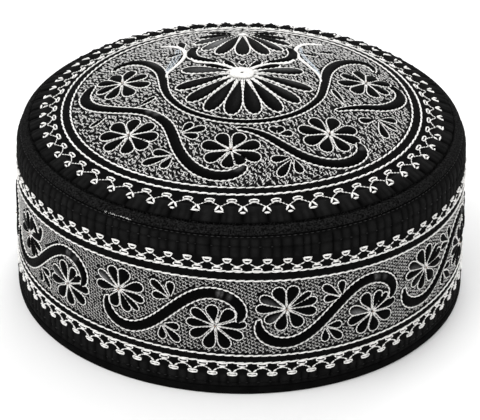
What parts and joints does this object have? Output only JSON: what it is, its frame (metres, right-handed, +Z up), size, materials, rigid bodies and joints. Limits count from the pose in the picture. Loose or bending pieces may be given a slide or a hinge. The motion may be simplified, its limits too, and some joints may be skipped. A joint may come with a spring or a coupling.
{
  "type": "embroidered round prayer cap",
  "caption": "Round brimless prayer cap with an upright side wall, a domed crown, padded black floral embroidery, white cord outlines and a folded hem.",
  "frame": {"origin": "middle of the cap at the level of the hem, on which it stands", "axes": "+Z up through the middle of the crown, -Y the front that the picture shows, +X to the right seen from the front"},
  "size_m": [0.1876, 0.1874, 0.0957],
  "materials": {
    "black_cotton": "matt quilted cotton",
    "black_felt": "fuzzy felted wool",
    "black_satin_stitch": "padded satin stitch with a soft sheen",
    "white_thread": "twisted white cotton thread with a slight sheen"
  },
  "bodies": {
    "root": {"crown_panel": "black_cotton", "edge_welt": "black_felt", "side_panel": "black_cotton", "hem_binding": "black_cotton", "side_scroll_1": "black_satin_stitch", "side_flower_a_1": "black_satin_stitch", "side_flower_b_1": "black_satin_stitch", "side_scroll_2": "black_satin_stitch", "side_flower_a_2": "black_satin_stitch", "side_flower_b_2": "black_satin_stitch", "side_scroll_3": "black_satin_stitch", "side_flower_a_3": "black_satin_stitch", "side_flower_b_3": "black_satin_stitch", "side_scroll_4": "black_satin_stitch", "side_flower_a_4": "black_satin_stitch", "side_flower_b_4": "black_satin_stitch", "side_scroll_5": "black_satin_stitch", "side_flower_a_5": "black_satin_stitch", "side_flower_b_5": "black_satin_stitch", "side_scroll_6": "black_satin_stitch", "side_flower_a_6": "black_satin_stitch", "side_flower_b_6": "black_satin_stitch", "side_scroll_7": "black_satin_stitch", "side_flower_a_7": "black_satin_stitch", "side_flower_b_7": "black_satin_stitch", "side_scroll_8": "black_satin_stitch", "side_flower_a_8": "black_satin_stitch", "side_flower_b_8": "black_satin_stitch", "side_scroll_9": "black_satin_stitch", "side_flower_a_9": "black_satin_stitch", "side_flower_b_9": "black_satin_stitch", "crown_lyre_band": "black_satin_stitch", "crown_bowl_left": "black_satin_stitch", "crown_bowl_right": "black_satin_stitch", "crown_scroll_left": "black_satin_stitch", "crown_scroll_front": "black_satin_stitch", "crown_scroll_right": "black_satin_stitch", "crown_flower_1": "black_satin_stitch", "crown_flower_2": "black_satin_stitch", "crown_flower_3": "black_satin_stitch", "crown_flower_4": "black_satin_stitch", "crown_flower_5": "black_satin_stitch", "crown_rosette": "black_satin_stitch", "crown_palmette": "black_satin_stitch", "rosette_disc": "white_thread"}
  },
  "joints": []
}
